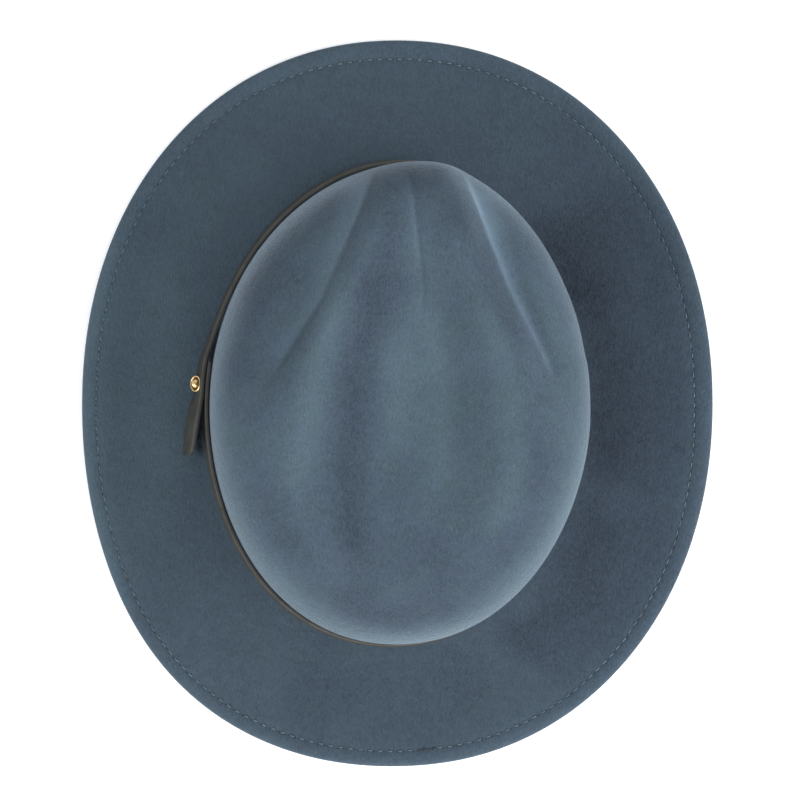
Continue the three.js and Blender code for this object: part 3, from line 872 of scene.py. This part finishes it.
def sectionRing(section):
    # rounded strip section: four rounded corners, and a point in the middle of each long face
    thick, edge, count = strap["thickness"] * mm, strap["edge"] * mm, strap["edgePoints"]
    ring = []
    middle = section["lower"].lerp(section["upper"], 0.5)
    for base, sign, face in [(section["lower"], 1, thick * strap["fullness"]), (section["upper"], -1, 0.0)]:
        corners = [(0, 1), (thick, -1)][::sign]
        for corner, (out, turnSign) in enumerate(corners):
            for step in range(count):
                turn = math.pi / 2 * step / (count - 1)
                if corner == 0:
                    rise, depth = 1 - math.sin(turn), 1 - math.cos(turn)
                else:
                    rise, depth = 1 - math.cos(turn), 1 - math.sin(turn)
                ring.append(base + section["up"] * sign * (section["inset"] + edge * rise)
                            + section["across"] * (out + turnSign * edge * depth))
        ring.append(middle + section["across"] * face)
    return ring


def makeStrap():
    first, last = strap["start"], 360 + strap["tailEnd"]
    corner = math.degrees(strap["corner"] / strap["radius"])
    straight = last - corner - first
    count = int(straight / strap["step"])
    # direction and inset of each ring: the tail's end is rounded
    turns = [(first, strap["squareEnd"])] + [(first + straight * i / count, 0.0) for i in range(1, count + 1)]
    for i in range(1, strap["cornerRings"] + 1):
        share = math.sin(math.pi / 2 * i / strap["cornerRings"])
        turns.append((last - corner + corner * share, strap["corner"] * (1 - math.sqrt(1 - share ** 2))))
    rings = [sectionRing(strapSection(*turn)) for turn in turns]
    sides = len(rings[0])
    points = [point for ring in rings for point in ring]
    obj = newObject("leatherStrap", points, ringFaces(len(rings), sides, 0))
    outwardFaces(obj)
    bpy.ops.object.shade_smooth_by_angle(angle=math.radians(strap["crisp"]))

    # uv in mm: along the strap, and up it from its lower edge
    lower, outer, upper = 0, strap["edgePoints"], strap["edgePoints"] * 2 + 2     # places in a ring
    lengths = [0.0]
    for before, after in zip(rings, rings[1:]):
        lengths.append(lengths[-1] + (after[outer] - before[outer]).length / mm)
    layer = obj.data.uv_layers.new(name="leather")
    for loop in obj.data.loops:
        ring = rings[loop.vertex_index // sides]
        up = (ring[upper] - ring[lower]).normalized()
        rise = (points[loop.vertex_index] - ring[lower]).dot(up) / mm
        layer.data[loop.index].uv = (lengths[loop.vertex_index // sides], rise)
    print("strap laid:", len(rings), "rings")
    return obj


leatherLook = {
    "shader": {"Specular IOR Level": 0.35, "Coat Roughness": 0.35},
    "face": ((0.024, 0.026, 0.020), (0.038, 0.039, 0.031)),     # darkest and lightest of its patches
    "edge": ((0.048, 0.046, 0.043), (0.066, 0.063, 0.058)),     # the same for the cut edges
    "worn": (0.09, 0.085, 0.075), "wear": 0.25,
    "upperEdge": (11.9, 12.5), "lowerEdge": (0.2, 0.7),         # mm up the strap
    "poreScale": 950, "grainScale": 700, "patchScale": 120,
    "relief": 0.10,         # mm
}


def makeLeatherMaterial():
    look = leatherLook
    material, tree, shader = newMaterial("strapLeather", look["shader"])
    place = objectPlace(tree)
    rise = partOf(Wire(tree, None).node("ShaderNodeUVMap", {"uv_map": "leather"}, {}), "Y")
    pores = place.node("ShaderNodeTexVoronoi", {"feature": "DISTANCE_TO_EDGE"},
                       {"Vector": place, "Scale": look["poreScale"]})
    grain = place.noise(look["grainScale"], 5, 0.65)
    patch = place.noise(look["patchScale"], 3, 0.55).between(0.3, 0.7)
    cutEdge = rise.between(*look["upperEdge"]) + (1 - rise.between(*look["lowerEdge"]))
    colour = cutEdge.blend(patch.blend(*look["face"]), patch.blend(*look["edge"]))
    feed(tree, shader, {
        "Base Color": (grain.between(0.62, 0.8) * look["wear"]).blend(colour, look["worn"]),
        "Roughness": 0.48 + grain * 0.22 + cutEdge * 0.12,
        "Normal": (pores.between(0.0, 0.18) * 0.6 + grain * 0.6).bump(look["relief"] * mm, 0.7),
    })
    return material


leatherStrap = makeStrap()
leatherStrap.data.materials.append(makeLeatherMaterial())
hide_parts("hat_band")
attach(leatherStrap, "root")
print("strap finished")


# brass stud

# lengths in mm
stud = {
    "direction": -6.0,      # degrees round the strap
    "head": 7.4, "height": 3.1, "flange": 0.85, "post": 3.0,
    "dome": 4.2,            # width of the dome inside the flange's rim
    "rim": 0.9,             # width of the rolled rim
    "trough": 0.45,         # how deep the ring between rim and dome lies
    "tilt": 24.0,           # degrees the head looks up from the strap's face
    "seat": 0.45,           # how far the tilted head is held off its gap from the leather
    "postEnd": 0.3, "bevel": 0.3,
    "innerRim": 0.85, "innerDrop": 0.72,        # shares of the rim and flange at the rim's inner foot
    "domeFoot": (0.12, 0.1),                    # how far the trough reaches beyond the dome, and falls to it
    "domeDrop": 0.6,
    "rimSteps": 8, "domeSteps": 11, "sides": 48,
    "darkRingFade": 2.5,     # rings of the dome over which the dark ring fades
    "crisp": 60,            # degrees over which edges stay sharp
}


def studProfile():
    # radius, height off the leather and share of dark patina with painted dark reflection, from the post's end to
    # the top of the dome
    head, dome, flange, rim = stud["head"] / 2, stud["dome"] / 2, stud["flange"], stud["rim"]
    depth = 2 * (strap["gap"] + strap["thickness"])
    low = strap["gap"] + stud["seat"]
    trough = low + flange - stud["trough"]
    profile = [(stud["post"] / 2, low - depth + stud["postEnd"], 0), (stud["post"] / 2, low, 0),
               (head - stud["bevel"], low, 0.4)]
    for i in range(stud["rimSteps"] + 1):
        turn = -math.pi / 2 + math.pi * i / stud["rimSteps"]
        profile.append((head - rim / 2 + rim / 2 * math.cos(turn),
                        low + flange / 2 + flange / 2 * math.sin(turn), 0))
    profile.append((head - rim * stud["innerRim"], low + flange * stud["innerDrop"], 0.6))
    profile.append((head - rim, trough, 1))
    profile.append((dome + stud["domeFoot"][0], trough - stud["domeFoot"][1], 1))
    rise = stud["height"] - flange - stud["domeDrop"] + stud["trough"]
    for i in range(stud["domeSteps"]):
        turn = math.pi / 2 * i / stud["domeSteps"]
        profile.append((dome * math.cos(turn), trough + rise * math.sin(turn),
                        max(0, 1 - i / stud["darkRingFade"])))
    return profile


def makeStud():
    section = strapSection(360 + stud["direction"], 0)
    across = section["across"]
    seat = section["upper"].lerp(section["lower"], 0.5) + across * strap["thickness"] * mm
    axis = (across + section["up"] * math.tan(math.radians(stud["tilt"]))).normalized()
    turnTo = Vector((0, 0, 1)).rotation_difference(axis).to_matrix()
    profile, points, sides = studProfile(), [], stud["sides"]
    for radius, rise, _ in profile:
        for j in range(sides):
            turn = 2 * math.pi * j / sides
            points.append(seat + turnTo @ Vector((radius * math.cos(turn), radius * math.sin(turn), rise)) * mm)
    obj = newObject("brassStud", points, ringFaces(len(profile), sides, 0))
    outwardFaces(obj)
    bpy.ops.object.shade_smooth_by_angle(angle=math.radians(stud["crisp"]))
    setAttribute(obj.data, "patinaAndDarkReflection", [patinaAndDarkReflection for _, _, patinaAndDarkReflection in profile for _ in range(sides)])
    print("stud turned")
    return obj


brassLook = {
    "shader": {"Metallic": 1.0},
    # dark: patina in the trough, painted darker to stand in for the dark surroundings reflected there
    "bright": (0.78, 0.54, 0.27), "dull": (0.42, 0.26, 0.11), "dark": (0.060, 0.030, 0.014),
    "tarnish": 0.35, "patinaAndDarkReflection": 0.9,
    "hazeScale": 900, "scuffScale": 3500,
}


def makeBrassMaterial():
    look = brassLook
    material, tree, shader = newMaterial("studBrass", look["shader"])
    place = objectPlace(tree)
    scuffs = place.noise(look["scuffScale"], 2, 0.7)
    patinaAndDarkReflection = attribute(tree, "patinaAndDarkReflection")
    tarnish = place.noise(look["hazeScale"], 4, 0.6).between(0.45, 0.75) * look["tarnish"]
    metal = tarnish.blend(look["bright"], look["dull"])
    feed(tree, shader, {
        # patina and painted dark reflection in the trough and at the dome's foot
        "Base Color": (patinaAndDarkReflection * look["patinaAndDarkReflection"]).blend(metal, look["dark"]),
        "Roughness": 0.20 + tarnish * 0.3 + scuffs * 0.08 + patinaAndDarkReflection * 0.3,
        "Normal": scuffs.bump(0.02 * mm, 0.5),
    })
    return material


brassStud = makeStud()
brassStud.data.materials.append(makeBrassMaterial())
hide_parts("band_stud")
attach(brassStud, "root")
print("stud finished")


# table top, light and camera

studio = {
    "floorColour": (0.93, 0.93, 0.93), "floorPale": (0.9486, 0.9486, 0.9486), "floorGlow": 0.22,
    "floorSize": 8, "floorHeight": -0.0004,
    "worldColour": (0.92, 0.96, 1.0), "worldStrength": 0.64,
    # place, aim, size, watts
    "lights": {
        "keyRight": ((-2.3, 0.5, 1.55), (0, 0, 0.05), (2.4, 2.4), 78),
        "fillLeft": ((2.0, 1.5, 1.45), (0, 0, 0.05), (2.3, 2.2), 54),
        "backLow": ((-0.2, 2.5, 1.25), (0, 0, 0.06), (3.0, 1.5), 46),
        "frontLow": ((-1.6, -2.1, 1.6), (0, 0, 0.03), (2.6, 1.6), 28),
    },
    "cameraPlace": (0.030, 0.0, 1.305), "cameraAim": (-0.0009, -0.00135, 0.005),
    "cameraLens": 130, "cameraSensor": 36, "cameraSees": 20,
}


def makeStudio():
    bpy.ops.mesh.primitive_plane_add(size=studio["floorSize"], location=(0, 0, studio["floorHeight"]))
    floor = bpy.context.object
    floor.name = "tableTop"
    material, tree, shader = newMaterial("tableWhite", {
        "Roughness": 0.9, "Specular IOR Level": 0.1, "Emission Color": (1, 1, 1, 1),
        "Emission Strength": studio["floorGlow"]})
    shade = objectPlace(tree).noise(6, 2, 0.5).between(0.2, 0.8)
    feed(tree, shader, {"Base Color": shade.blend(studio["floorColour"], studio["floorPale"])})
    floor.data.materials.append(material)

    world = bpy.data.worlds.new("softRoom")
    world.use_nodes = True
    background = world.node_tree.nodes["Background"]
    background.inputs["Color"].default_value = (*studio["worldColour"], 1)
    background.inputs["Strength"].default_value = studio["worldStrength"]
    bpy.context.scene.world = world

    for name, (place, aim, size, watts) in studio["lights"].items():
        bpy.ops.object.light_add(type="AREA", location=place)
        lamp = bpy.context.object
        lamp.name = name
        lamp.data.shape = "RECTANGLE"
        lamp.data.size, lamp.data.size_y = size
        lamp.data.energy = watts
        lamp.rotation_euler = (Vector(aim) - Vector(place)).to_track_quat("-Z", "Y").to_euler()


def makeCamera():
    place, aim = Vector(studio["cameraPlace"]), Vector(studio["cameraAim"])
    bpy.ops.object.camera_add(location=place)
    camera = bpy.context.object
    camera.name = "overheadCamera"
    look = (aim - place).normalized()
    right = look.cross(Vector((0, -1, 0))).normalized()   # the hat's front is at the top of the picture
    up = right.cross(look)
    camera.matrix_world = Matrix.Translation(place) @ Matrix((right, up, -look)).transposed().to_4x4()
    camera.data.sensor_width = studio["cameraSensor"]
    camera.data.lens = studio["cameraLens"]
    camera.data.clip_end = studio["cameraSees"]
    bpy.context.scene.camera = camera


makeStudio()
makeCamera()
bpy.context.scene.view_settings.view_transform = "Standard"
print("studio ready")
